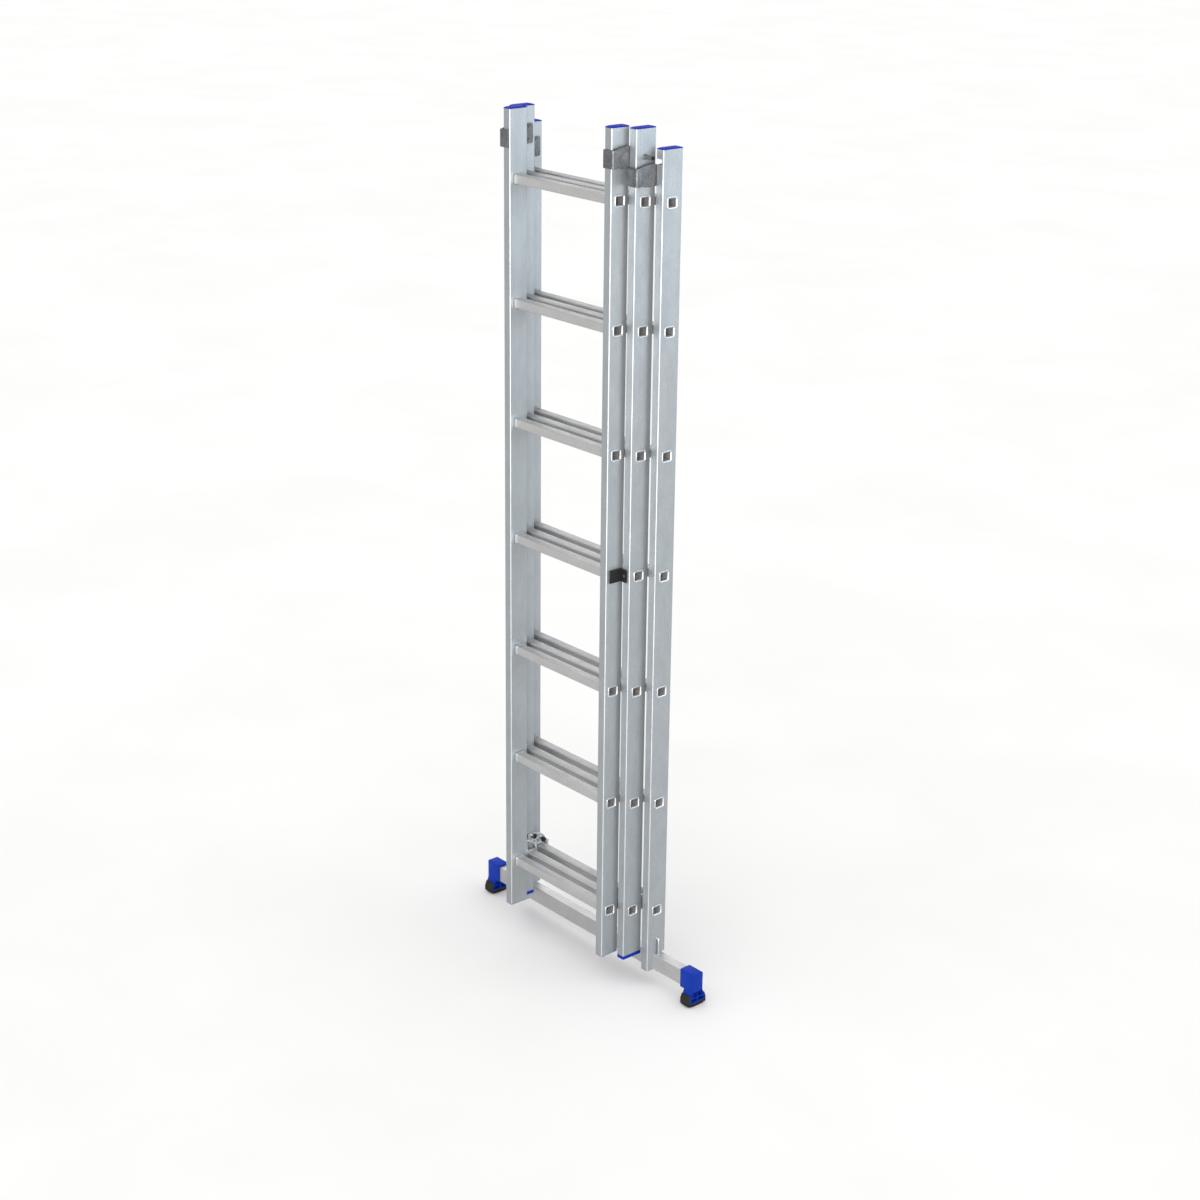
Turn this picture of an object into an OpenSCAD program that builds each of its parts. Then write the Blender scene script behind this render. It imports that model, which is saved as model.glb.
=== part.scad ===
// Three-section combination ladder, seven rungs a section, nested and standing upright.
// Origin on the floor, at the middle of the object's box. +X to the climber's right,
// -Y towards the climber and +Z up. The sections nest from front to back: the narrow
// top section, the middle section and the wide base section with its stabiliser bar.

/* [Rungs] */
// Number of rungs in each section
rung_count = 7; // [5:1:9]
// Distance from rung to rung
rung_pitch = 280; // [250:1:320]
// Front to back size of a rung
rung_depth = 24; // [20:0.5:28]
// Height of a rung
rung_height = 21; // [18:0.5:26]
// Wall of the rung tube
rung_wall = 1.5; // [1:0.1:2.5]
// Outer corner radius of the rung tube
rung_corner = 3; // [2:0.5:5]
// Grooves along the tread face of a rung
tread_grooves = 4; // [2:1:5]
// Depth of a tread groove
groove_depth = 0.6; // [0.3:0.1:0.8]
// Width of a tread groove
groove_width = 1.6; // [1:0.1:2.2]
// How far the flared rung end lips over the hole in the stile
flare_lip = 3; // [2:0.5:4]
// How far the flared rung end stands out of the stile
flare_stand = 1.5; // [0.8:0.1:2.5]
// Length of the bead pressed into the rung against the stile's inner face
bead_length = 4; // [2:0.5:6]
// How far the bead stands proud of the rung
bead_rise = 1.3; // [0.5:0.1:2]

/* [Stiles] */
// Thickness of every stile, across the ladder
stile_thickness = 22; // [18:0.5:28]
// Front to back size of the top section's stiles
top_stile_depth = 50; // [42:0.5:66]
// Front to back size of the middle and base sections' stiles
lower_stile_depth = 56; // [46:0.5:70]
// Wall of the stile tube
stile_wall = 1.6; // [1.2:0.1:2.2]
// Outer corner radius of the stile tube
stile_corner = 2.5; // [1.5:0.5:4]
// Length of the top section's stiles below the lowest rung
top_below = 116; // [90:1:160]
// Length of the middle section's stiles below the lowest rung
mid_below = 115; // [90:1:160]
// Length of the base section's stiles below the lowest rung
base_below = 155.7; // [130:0.1:200]
// Length of the top and middle sections' stiles above the highest rung
upper_above = 154; // [140:1:220]
// Length of the base section's stiles above the highest rung
base_above = 113; // [105:1:220]

/* [Sections] */
// Outer width of the top section
top_width = 363; // [300:1:450]
// Gap at each side between the top section and the middle section
mid_side_gap = 9.3; // [8:0.1:14]
// Gap at each side between the middle section and the base section
base_side_gap = 10.8; // [9:0.1:16]
// How far the front of the middle section reaches past the back of the top section
mid_nesting = 8.7; // [4:0.1:14]
// How far the front of the base section reaches past the back of the middle section
base_nesting = 8.3; // [4:0.1:14]
// How much higher each upper section hangs than the one behind it
section_step = 2.4; // [1:0.1:6]

/* [Stabiliser] */
// Overall width over the two feet
stabiliser_width = 776; // [640:1:1000]
// Front to back size of the stabiliser bar
bar_depth = 25; // [20:0.5:30]
// Height of the stabiliser bar
bar_height = 40; // [30:0.5:50]
// Wall of the stabiliser bar
bar_wall = 2; // [1.5:0.1:3]
// Distance from the front of the base stile to the front of the bar
bar_setback = 20; // [16:0.5:28]
// Height of the bar's underside above the floor
bar_clearance = 39.5; // [34:0.5:60]
// Diameter of the hook bolts that hold the bar
hook_bolt_d = 6; // [5:1:8]
// Height of the hook bolt's end above the bar
hook_bolt_rise = 38.5; // [30:0.5:60]
// Length of each foot's sleeve over the bar
foot_sleeve = 44; // [36:1:60]
// Wall of the foot round the bar
foot_wall = 3; // [2:0.5:4]
// Length of the foot's flared pad, along the bar
pad_length = 30; // [22:1:36]
// Front to back size of the foot's flared pad
pad_width = 54; // [44:1:70]
// Thickness of the rubber sole under the pad
sole_thickness = 10; // [7:0.5:14]
// Wall of the rubber sole at the front and back of the pad
sole_wall = 3; // [2:0.5:4]
// Number of grooves across the underside of the sole
sole_grooves = 8; // [4:2:10]

/* [End caps] */
// Thickness of a top cap's rim
cap_rim = 1.6; // [1:0.1:3]
// Height of the dome on a top cap
cap_dome = 2.6; // [1:0.1:4]
// Thickness of the boots under the middle section
boot_height = 8; // [5:0.5:14]
// Thickness of the plugs under the top section
plug_rim = 1.2; // [0.8:0.1:3]
// Depth of the plug inside each stile end
plug_depth = 24; // [14:1:40]

/* [Guide brackets] */
// Thickness of the guide brackets' steel
guide_plate = 3; // [2:0.5:4]
// Height of the bracket where it grips the front of the guided stile
guide_grip_h = 39; // [30:1:50]
// Height of the bracket's neck beside the grip
guide_neck_h = 33; // [26:1:44]
// Greatest height of the bracket's side plate
guide_max_h = 48; // [44:1:60]
// Front gap between the top section and its brackets
top_guide_gap = 1; // [0.5:0.1:3]
// Front gap between the middle section and its brackets
mid_guide_gap = 3.8; // [3.6:0.1:6]
// Distance from the middle section's stile end down to the bracket's centre line
mid_guide_drop = 60.5; // [45:0.5:100]
// Distance from the base section's stile end down to the bracket's centre line
base_guide_drop = 54.7; // [45:0.1:100]

/* [Hooks and latches] */
// Thickness of the rung hooks' steel
hook_plate = 4; // [3:0.5:5]
// Gap between a hook and the rung it sits on
hook_gap = 0.6; // [0.4:0.1:1.5]
// Radius of the hook's outer curve
hook_radius = 36; // [33:1:46]
// Diameter of the latch's pivot bolt
pivot_d = 6; // [5:1:8]
// Radial clearance of the latch on its bolt
pivot_fit = 0.05; // [0.02:0.01:0.1]
// Diameter of the latch knob and of the pivot bolt's head
knob_d = 13; // [10:0.5:16]
// Diameter of the hinge pins for standing the ladder as a trestle
hinge_pin_d = 8; // [6:0.5:10]
// How far a hinge pin stands out of the middle section
hinge_pin_reach = 27; // [22:0.5:30]
// Clearance of the hinge pin in its slot
hinge_slot_fit = 1.7; // [0.5:0.1:3]

/* [Guide clips] */
// Thickness of the plastic guide clips
clip_plate = 3; // [2:0.5:3]
// Height of a guide clip
clip_height = 30; // [20:1:44]
// Reach of the clip beside the top section's stile
clip_reach = 33; // [20:1:44]
// Gap between the clip and the flared rung ends that pass it
clip_gap = 0.5; // [0.3:0.1:1.5]

/* [Hidden] */
$fn = 48;
eps = 0.01;
rivet_d = 4.8;
rivet_head_d = 9;
rivet_head_h = 1.6;
fastener_fit = 0.05;
plate_seam = 0.3;

// Floor-based heights of the lowest rung's middle in each section
base_rung_z = bar_clearance + base_below;
mid_rung_z = base_rung_z + section_step;
top_rung_z = mid_rung_z + section_step;
rung_run = (rung_count - 1) * rung_pitch;

// Half widths of the sections
top_half = top_width / 2;
mid_half = top_half + mid_side_gap + stile_thickness;
base_half = mid_half + base_side_gap + stile_thickness;

// Depths from the front of the top section's stile, before the box is centred
mid_y = top_stile_depth - mid_nesting;
base_y = mid_y + lower_stile_depth - base_nesting;
bar_y = base_y + bar_setback;
bar_mid_y = bar_y + bar_depth / 2;
front_most = -top_guide_gap - guide_plate;
back_most = max(base_y + lower_stile_depth, bar_mid_y + pad_width / 2);
y_shift = -(front_most + back_most) / 2;

// Stile ends
top_z0 = top_rung_z - top_below;
top_z1 = top_rung_z + rung_run + upper_above;
mid_z0 = mid_rung_z - mid_below;
mid_z1 = mid_rung_z + rung_run + upper_above;
base_z0 = base_rung_z - base_below;
base_z1 = base_rung_z + rung_run + base_above;

// Each section: half width, front of stile, stile depth, lowest rung, stile bottom, stile top
TOP = [top_half, 0, top_stile_depth, top_rung_z, top_z0, top_z1];
MID = [mid_half, mid_y, lower_stile_depth, mid_rung_z, mid_z0, mid_z1];
BASE = [base_half, base_y, lower_stile_depth, base_rung_z, base_z0, base_z1];
function half_of(s) = s[0];
function inner_of(s) = s[0] - stile_thickness;
function front_of(s) = s[1];
function depth_of(s) = s[2];
function rung_y_of(s) = s[1] + s[2] / 2;
function rung_z_of(s, i) = s[3] + i * rung_pitch;

mid_guide_z = mid_z1 - mid_guide_drop;
base_guide_z = base_z1 - base_guide_drop;

// Stabiliser bar, its hook bolts and feet
bar_top = bar_clearance + bar_height;
bar_half = stabiliser_width / 2 - foot_wall;
bolt_bend = hook_bolt_d / 2 + 0.6;
bolt_x = base_half + bolt_bend + 0.1;
bolt_end_z = bar_top + hook_bolt_rise;
nut_h = 5;
washer_h = 1.2;
foot_half = stabiliser_width / 2;
foot_front = bar_depth / 2 + foot_wall;
foot_top_rise = 5;

// Rung hooks: the plate's place across the ladder, and the places of its screws
top_hook_x = inner_of(TOP) + 4.5;
mid_hook_x = inner_of(MID) - hook_plate;
mid_back = mid_y + lower_stile_depth;
base_rung_front = rung_y_of(BASE) - rung_depth / 2;
base_rung_back = rung_y_of(BASE) + rung_depth / 2;
base_rung_top = base_rung_z + rung_height / 2;
base_rung_bottom = base_rung_z - rung_height / 2;
pivot_y = mid_back - 5.5;
pivot_z = base_rung_top + 29.5;
latch_plate = 3;
latch_x = mid_hook_x - plate_seam - latch_plate;
knob_y = base_rung_front + 13.5;
knob_z = base_rung_top + knob_d / 2 + 7;
knob_length = 8;

// Trestle hinge pin and the slot in the base section that takes it
hinge_pin_y = mid_y + 25.2;
hinge_pin_z = mid_guide_z + 1.5;
hinge_slot_h = hinge_pin_d + 2 * hinge_slot_fit;
hinge_slot_z = base_guide_z + 28.8;
hinge_slot_depth = 33;
hinge_slot_reach = 17;

clip_z = top_rung_z + floor(rung_count / 2) * rung_pitch;
clip_x = top_half + flare_stand + clip_gap;
clip_front_reach = 21.5;

blue = "#1F3FB5";
metal = "#B9C2C6";
steel = "#75797A";
black = "#2B2B2B";

// ---------- helpers ----------

// Puts a right-hand piece on the named side, and centres the depth of the whole ladder.
module on_side(side) {
    translate([0, y_shift, 0])
        if (side == "left") mirror([1, 0, 0]) children();
        else children();
}

module both_sides() {
    on_side("left") children();
    on_side("right") children();
}

module rounded_rect(w, h, r) {
    difference() {
        square([w, h], center = true);
        for (x = [-1, 1]) for (y = [-1, 1])
            translate([x * (w / 2 - r), y * (h / 2 - r)])
                difference() {
                    translate([x > 0 ? 0 : -r - 1, y > 0 ? 0 : -r - 1])
                        square([r + 1, r + 1]);
                    circle(r);
                }
    }
}

// Extrudes an outline drawn in depth and height along X, from x0 to x1.
module along_x(x0, x1) {
    translate([x0, 0, 0])
        rotate([90, 0, 90])
            linear_extrude(height = x1 - x0)
                children();
}

module rod_x(x0, x1, d, y, z) {
    translate([x0, y, z])
        rotate([0, 90, 0])
            cylinder(d = d, h = x1 - x0);
}

module rod_y(y0, y1, d, x, z) {
    translate([x, y0, z])
        rotate([-90, 0, 0])
            cylinder(d = d, h = y1 - y0);
}

// ---------- stiles and rungs ----------

module stile_tube(s) {
    translate([half_of(s) - stile_thickness / 2, rung_y_of(s), s[4]])
        linear_extrude(height = s[5] - s[4])
            difference() {
                rounded_rect(stile_thickness, depth_of(s), stile_corner);
                rounded_rect(stile_thickness - 2 * stile_wall, depth_of(s) - 2 * stile_wall,
                             stile_corner - stile_wall + 0.4);
            }
}

module rung_holes(s) {
    for (i = [0 : rung_count - 1])
        translate([0, rung_y_of(s), rung_z_of(s, i)])
            along_x(inner_of(s) - 1, half_of(s) + 1)
                rounded_rect(rung_depth, rung_height, rung_corner);
}

module top_stile(side) color(metal) on_side(side)
    difference() {
        stile_tube(TOP);
        rung_holes(TOP);
        for (z = top_hook_screws())
            rod_y(top_stile_depth - 5, top_stile_depth + 1, rivet_d + 2 * fastener_fit,
                  top_hook_flange_x(), z);
    }

module mid_stile(side) color(metal) on_side(side)
    difference() {
        stile_tube(MID);
        rung_holes(MID);
        for (p = guide_screws(MID, mid_guide_z, top_guide_front()))
            rod_x(inner_of(MID) - 1, inner_of(MID) + 4, rivet_d + 2 * fastener_fit, p[0], p[1]);
        rod_x(inner_of(MID) - 1, inner_of(MID) + 4, pivot_d + 2 * fastener_fit, pivot_y, pivot_z);
        rod_x(inner_of(MID) - 1, inner_of(MID) + 4, rivet_d + 2 * fastener_fit,
              mid_hook_screw()[0], mid_hook_screw()[1]);
        rod_x(mid_half - 4, mid_half + 1, hinge_pin_d + 2 * fastener_fit,
              hinge_pin_y, hinge_pin_z);
        rod_y(mid_y - 1, mid_y + 4, rivet_d + 2 * fastener_fit, clip_screw_x(), clip_z);
    }

module base_stile(side) color(metal) on_side(side)
    difference() {
        stile_tube(BASE);
        rung_holes(BASE);
        for (p = guide_screws(BASE, base_guide_z, mid_guide_front()))
            rod_x(inner_of(BASE) - 1, inner_of(BASE) + 4, rivet_d + 2 * fastener_fit,
                  p[0], p[1]);
        hinge_slot();
        bar_notch();
        rod_x(base_half - 4, base_half + 1, hook_bolt_d + 2 * fastener_fit,
              bar_mid_y, bolt_end_z);
    }

// Slot that runs back from the inner front corner, to take the hinge pin.
module hinge_slot() {
    x0 = inner_of(BASE) - 1;
    translate([x0, base_y - 1, hinge_slot_z - hinge_slot_h / 2])
        cube([hinge_slot_reach + 1, hinge_slot_depth - hinge_slot_h / 2 + 1, hinge_slot_h]);
    rod_x(x0, x0 + hinge_slot_reach + 1, hinge_slot_h,
          base_y + hinge_slot_depth - hinge_slot_h / 2, hinge_slot_z);
}

// The back of the stile is cut away where the stabiliser bar passes.
module bar_notch() {
    translate([inner_of(BASE) - 1, bar_y, base_z0 - 1])
        cube([stile_thickness + 2, lower_stile_depth, bar_height + 1]);
}

module tread_outline() {
    span = rung_depth - 2 * rung_corner;
    step = span / tread_grooves;
    difference() {
        rounded_rect(rung_depth, rung_height, rung_corner);
        for (i = [0 : tread_grooves - 1])
            translate([-span / 2 + (i + 0.5) * step, rung_height / 2])
                square([groove_width, 2 * groove_depth], center = true);
    }
}

module rung_bore() {
    rounded_rect(rung_depth - 2 * rung_wall, rung_height - 2 * rung_wall,
                 rung_corner - rung_wall + 0.5);
}

module rung(s, i) color(metal)
    translate([0, y_shift + rung_y_of(s), rung_z_of(s, i)])
        difference() {
            union() {
                along_x(-half_of(s), half_of(s)) tread_outline();
                for (side = [0, 1]) mirror([side, 0, 0]) {
                    along_x(half_of(s), half_of(s) + flare_stand)
                        rounded_rect(rung_depth + 2 * flare_lip, rung_height + 2 * flare_lip,
                                     rung_corner + flare_lip);
                    along_x(inner_of(s) - bead_length, inner_of(s))
                        rounded_rect(rung_depth + 2 * bead_rise, rung_height + 2 * bead_rise,
                                     rung_corner + bead_rise);
                }
            }
            along_x(-half_of(s) - 10, half_of(s) + 10) rung_bore();
        }

// ---------- end caps ----------

module plug_body(s, z) {
    w = stile_thickness - 2 * stile_wall - 2 * fastener_fit;
    d = depth_of(s) - 2 * stile_wall - 2 * fastener_fit;
    translate([half_of(s) - stile_thickness / 2, rung_y_of(s), z])
        linear_extrude(height = plug_depth)
            difference() {
                rounded_rect(w, d, 1.2);
                rounded_rect(w - 4, d - 4, 1);
            }
}

// Solid outline of the stile, high enough to be cut to a dome or a boot.
module cap_block(s, z, h) {
    translate([half_of(s) - stile_thickness / 2, rung_y_of(s), z])
        linear_extrude(height = h)
            rounded_rect(stile_thickness, depth_of(s), stile_corner);
}

module top_cap(s, side) color(blue) on_side(side) {
    reach = depth_of(s) / 2;
    bow = (reach * reach + cap_dome * cap_dome) / (2 * cap_dome);
    intersection() {
        cap_block(s, s[5], cap_rim + cap_dome + 1);
        translate([0, rung_y_of(s), s[5] + cap_rim + cap_dome - bow])
            rotate([0, 90, 0])
                cylinder(r = bow, h = 2 * half_of(s), $fn = 240);
    }
    plug_body(s, s[5] - plug_depth);
}

module top_end_plugs() color(blue) both_sides() {
    cap_block(TOP, top_z0 - plug_rim, plug_rim);
    plug_body(TOP, top_z0);
}

// Boot with its front and back edges rolled under.
module mid_boots() color(blue) both_sides() {
    roll = boot_height * 0.7;
    intersection() {
        cap_block(MID, mid_z0 - boot_height, boot_height);
        along_x(inner_of(MID) - 1, mid_half + 1)
            translate([rung_y_of(MID), mid_z0 + boot_height / 2])
                rounded_rect(lower_stile_depth, 3 * boot_height, roll);
    }
    plug_body(MID, mid_z0);
}

// ---------- guide brackets ----------

function top_guide_front() = -top_guide_gap - guide_plate;
function mid_guide_front() = mid_y - mid_guide_gap - guide_plate;

// Middle of each bracket rivet: depth and height.
function guide_screws(s, z, front) = [
    [front_of(s) + depth_of(s) - 21, z + 16.5],
    [front_of(s) + depth_of(s) - 21, z - 14],
    [front_of(s) + depth_of(s) - 38, z]
];

// Side plate: a neck that swells to the full height and ends in a rounded tail.
module guide_side(s, front) {
    swell = 38;
    tail = front_of(s) + depth_of(s) - 8 - front;
    bow = (swell * swell + pow((guide_max_h - guide_neck_h) / 2, 2))
        / (guide_max_h - guide_neck_h);
    intersection() {
        translate([0, -guide_max_h])
            square([swell + 12, 2 * guide_max_h]);
        translate([swell, guide_max_h / 2 - bow])
            circle(bow, $fn = 240);
        translate([swell, bow - guide_max_h / 2])
            circle(bow, $fn = 240);
    }
    translate([(swell + tail) / 2, 0])
        rounded_rect(tail - swell, guide_max_h - 3, 5);
}

// The grip turns round the front edge of the guided stile, seen from above.
module guide_grip(plate_x, front, lip_x) {
    bend = guide_plate + 1;
    difference() {
        union() {
            translate([plate_x, front + bend])
                square([guide_plate, 8]);
            translate([plate_x + guide_plate - bend, front + bend])
                circle(bend);
            translate([lip_x, front])
                square([plate_x + guide_plate - bend - lip_x, guide_plate]);
        }
        translate([plate_x + guide_plate - bend, front + bend])
            circle(1);
        translate([lip_x - 1, front + guide_plate])
            square([plate_x + guide_plate - bend - lip_x + 1, bend]);
        translate([plate_x + guide_plate - 2 * bend - 1, front + bend])
            square([bend + 1, bend]);
        translate([plate_x + guide_plate - bend - 0.5, front + bend])
            square([1.5, 9]);
    }
}

module guide(s, guided, z, front, side) color(steel) on_side(side) {
    plate_x = inner_of(s) - guide_plate;
    difference() {
        translate([plate_x, front + guide_plate + 1, z])
            rotate([90, 0, 90])
                linear_extrude(height = guide_plate)
                    guide_side(s, front + guide_plate + 1);
        for (p = guide_screws(s, z, front))
            rod_x(plate_x - 1, inner_of(s) + 1, rivet_d + 2 * fastener_fit, p[0], p[1]);
    }
    translate([0, 0, z - guide_grip_h / 2 - 2])
        linear_extrude(height = guide_grip_h)
            guide_grip(plate_x, front, inner_of(guided));
}

// ---------- guide clips ----------

function clip_screw_x() = inner_of(MID) + 6.5;

module mid_guide_clips() color(black) both_sides()
    difference() {
        translate([0, 0, clip_z - clip_height / 2])
            linear_extrude(height = clip_height)
                union() {
                    translate([clip_x, mid_y - clip_reach])
                        square([clip_plate, clip_reach]);
                    translate([clip_x, mid_y - clip_plate])
                        square([clip_front_reach, clip_plate]);
                    translate([clip_x + clip_plate, mid_y - 2 * clip_plate])
                        difference() {
                            square(clip_plate);
                            translate([clip_plate, 0]) circle(clip_plate);
                        }
                }
        rod_y(mid_y - clip_plate - 1, mid_y + 1, rivet_d + 2 * fastener_fit,
              clip_screw_x(), clip_z);
    }

// ---------- rung hooks ----------

function top_hook_flange_x() = top_hook_x + hook_plate + 5;
function top_hook_screws() = [mid_rung_z + 26, mid_rung_z + 44];
function mid_hook_screw() = [mid_back - 17, base_rung_z + 30];

// Web of a hook in depth and height, from the back of its own stile over the next rung.
module hook_web(back, rung_y, rung_z) {
    front = rung_y - rung_depth / 2 - hook_gap;
    rear = rung_y + rung_depth / 2 + hook_gap;
    seat = rung_z + rung_height / 2 + hook_gap;
    low = rung_z - rung_height / 2;
    difference() {
        union() {
            intersection() {
                translate([back, seat - 2])
                    circle(hook_radius, $fn = 96);
                translate([back, seat - 2])
                    square(hook_radius + 5);
            }
            translate([back, low])
                square([front - back, seat - low + 5]);
            translate([rear, low + 8])
                square([back + hook_radius - rear, seat - low - 8]);
            translate([(rear + back + hook_radius) / 2, low + 8])
                circle((back + hook_radius - rear) / 2);
        }
        translate([front, low - 10])
            square([rear - front, seat - low + 10]);
        intersection() {
            translate([back, seat - 2])
                circle(hook_radius - 5.5, $fn = 96);
            translate([back + 5, seat + 4.5])
                square(hook_radius);
        }
    }
}

module top_hook(side) color(steel) on_side(side) {
    along_x(top_hook_x, top_hook_x + hook_plate)
        hook_web(top_stile_depth, rung_y_of(MID), mid_rung_z);
    difference() {
        translate([top_hook_x, top_stile_depth, mid_rung_z + 18])
            cube([hook_plate + 10, 3, 34]);
        for (z = top_hook_screws())
            rod_y(top_stile_depth - 1, top_stile_depth + 4, rivet_d + 2 * fastener_fit,
                  top_hook_flange_x(), z);
    }
}

module mid_hook(side) color(steel) on_side(side)
    difference() {
        along_x(mid_hook_x, inner_of(MID)) {
            hook_web(mid_back, rung_y_of(BASE), base_rung_z);
            translate([mid_back - 22, base_rung_z + 24])
                square([22 + eps, pivot_z - base_rung_z - 16]);
        }
        rod_x(mid_hook_x - 1, inner_of(MID) + 1, pivot_d + 2 * fastener_fit, pivot_y, pivot_z);
        rod_x(mid_hook_x - 1, inner_of(MID) + 1, rivet_d + 2 * fastener_fit,
              mid_hook_screw()[0], mid_hook_screw()[1]);
    }

// ---------- latches ----------

// Lever seen from its bolt: an eye, an arm past the knob, and a tail behind the rung with
// a toe under it. The toe is an arc about the bolt, so it swings clear of the rung.
module latch_outline() {
    toe_gap = 0.8;
    toe_in = norm([base_rung_back - pivot_y, pivot_z - base_rung_bottom]) + toe_gap;
    toe_out = toe_in + 5.5;
    tail_y = base_rung_back + 3 - pivot_y;
    tail_w = 5.5;
    bend_z = -(pivot_z - knob_z) * (tail_y + tail_w / 2) / (knob_y - pivot_y);
    foot_z = -sqrt(toe_out * toe_out - pow(tail_y + tail_w, 2));
    translate([pivot_y, pivot_z])
        difference() {
            union() {
                circle(d = knob_d + 2);
                rotate(atan2(knob_z - pivot_z, knob_y - pivot_y))
                    translate([0, -4])
                        square([norm([tail_y + tail_w / 2, bend_z]), 8]);
                translate([tail_y + tail_w / 2, bend_z])
                    circle(d = 8);
                translate([tail_y, foot_z])
                    square([tail_w, bend_z - foot_z]);
                intersection() {
                    difference() {
                        circle(toe_out, $fn = 144);
                        circle(toe_in, $fn = 144);
                    }
                    translate([tail_y + tail_w - 20, -toe_out])
                        square([20, toe_out + foot_z + 6]);
                }
            }
            circle(d = pivot_d + 2 * pivot_fit);
        }
}

module latch(side) color(steel) on_side(side)
    along_x(latch_x, latch_x + latch_plate)
        latch_outline();

module latch_knob(side) color(black) on_side(side)
    translate([latch_x, knob_y, knob_z])
        rotate([0, -90, 0]) {
            cylinder(d = knob_d, h = knob_length - 1.5);
            translate([0, 0, knob_length - 1.5])
                cylinder(d1 = knob_d, d2 = knob_d - 3, h = 1.5);
        }

module latch_pivot_bolts() color(black) both_sides() {
    head_x = latch_x - plate_seam;
    rod_x(head_x, inner_of(MID) + stile_wall + 1, pivot_d, pivot_y, pivot_z);
    rod_x(head_x - 4, head_x, knob_d, pivot_y, pivot_z);
    rod_x(inner_of(MID) + stile_wall, inner_of(MID) + stile_wall + 3, pivot_d + 1.2,
          pivot_y, pivot_z);
}

// ---------- hinge pins and rivets ----------

module hinge_pins() color(steel) both_sides() {
    rod_x(mid_half - stile_wall - 3, mid_half + hinge_pin_reach, hinge_pin_d,
          hinge_pin_y, hinge_pin_z);
    rod_x(mid_half - stile_wall - 3, mid_half - stile_wall, hinge_pin_d + 5,
          hinge_pin_y, hinge_pin_z);
}

// Rivet that holds a plate to an inner face: the head lies on the plate.
module side_rivet(s, plate, p) {
    head_x = inner_of(s) - plate;
    rod_x(head_x - rivet_head_h, head_x, rivet_head_d, p[0], p[1]);
    rod_x(head_x - eps, inner_of(s) + stile_wall + 1, rivet_d, p[0], p[1]);
    rod_x(inner_of(s) + stile_wall, inner_of(s) + stile_wall + 2, rivet_d + 2, p[0], p[1]);
}

module top_rivets() color(steel) both_sides()
    for (z = top_hook_screws()) {
        y = top_stile_depth;
        rod_y(y + 3, y + 3 + rivet_head_h, rivet_head_d, top_hook_flange_x(), z);
        rod_y(y - stile_wall - 2, y + 3 + eps, rivet_d, top_hook_flange_x(), z);
        rod_y(y - stile_wall - 2, y - stile_wall, rivet_d + 2, top_hook_flange_x(), z);
    }

module mid_rivets() color(steel) both_sides() {
    for (p = guide_screws(MID, mid_guide_z, top_guide_front()))
        side_rivet(MID, guide_plate, p);
    side_rivet(MID, hook_plate, mid_hook_screw());
    rod_y(mid_y - clip_plate - 0.2, mid_y + stile_wall + 2, rivet_d, clip_screw_x(), clip_z);
    rod_y(mid_y + stile_wall, mid_y + stile_wall + 2, rivet_d + 2, clip_screw_x(), clip_z);
}

module base_rivets() color(steel) both_sides()
    for (p = guide_screws(BASE, base_guide_z, mid_guide_front()))
        side_rivet(BASE, guide_plate, p);

// ---------- stabiliser ----------

module stabiliser_bar() color(metal)
    translate([0, y_shift, 0])
        difference() {
            along_x(-bar_half, bar_half)
                translate([bar_mid_y, bar_clearance + bar_height / 2])
                    difference() {
                        rounded_rect(bar_depth, bar_height, 1.5);
                        rounded_rect(bar_depth - 2 * bar_wall, bar_height - 2 * bar_wall, 0.8);
                    }
            for (x = [-bolt_x, bolt_x])
                translate([x, bar_mid_y, bar_clearance - 1])
                    cylinder(d = hook_bolt_d + 2 * fastener_fit, h = bar_height + 2);
        }

// Bolt with its upper end bent over into the stile's outer wall.
module bar_hook_bolts() color(steel) both_sides() {
    shank_top = bolt_end_z - bolt_bend;
    shank_low = bar_clearance - washer_h - nut_h - 3;
    translate([bolt_x, bar_mid_y, shank_low])
        cylinder(d = hook_bolt_d, h = shank_top - shank_low);
    translate([bolt_x - bolt_bend, bar_mid_y, shank_top])
        rotate([90, 0, 0])
            rotate_extrude(angle = 90)
                translate([bolt_bend, 0])
                    circle(d = hook_bolt_d);
    rod_x(base_half - 7, bolt_x - bolt_bend, hook_bolt_d, bar_mid_y, bolt_end_z);
}

module bar_nuts() color(steel) both_sides()
    difference() {
        union() {
            translate([bolt_x, bar_mid_y, bar_clearance - washer_h])
                cylinder(d = 2.1 * hook_bolt_d, h = washer_h);
            translate([bolt_x, bar_mid_y, bar_clearance - washer_h - nut_h])
                cylinder(d = 1.92 * hook_bolt_d, h = nut_h + eps, $fn = 6);
        }
        translate([bolt_x, bar_mid_y, 0])
            cylinder(d = hook_bolt_d + 2 * fastener_fit, h = bar_clearance + 1);
    }

// ---------- feet ----------

pad_top = bar_clearance - foot_wall;
pad_low = sole_thickness;
pad_wide = pad_width / 2 - sole_wall;

// Half depth of the flared pad: narrow at the bar, widest a little above the ground.
function flare(z) = z > widest_z
    ? pad_wide - (pad_wide - foot_front) * (z - widest_z) / (pad_top + 2 - widest_z)
    : pad_wide;
widest_z = pad_low + 7;

module pad_outline(inset) {
    top = pad_top + foot_wall - inset;
    polygon([
        [-pad_wide + inset, pad_low + inset], [pad_wide - inset, pad_low + inset],
        [pad_wide - inset, widest_z], [foot_front - inset, pad_top + 2],
        [foot_front - inset, top], [-foot_front + inset, top],
        [-foot_front + inset, pad_top + 2], [-pad_wide + inset, widest_z]
    ]);
}

// Ribs between the pockets: a fan of slanting webs and one level web.
module pad_ribs() {
    for (a = [-32, 0, 32])
        translate([0, pad_top + 12])
            rotate(a)
                translate([-0.9, -60])
                    square([1.8, 60]);
    translate([-pad_width / 2, (pad_top + pad_low) / 2 - 2])
        square([pad_width, 1.8]);
}

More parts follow.
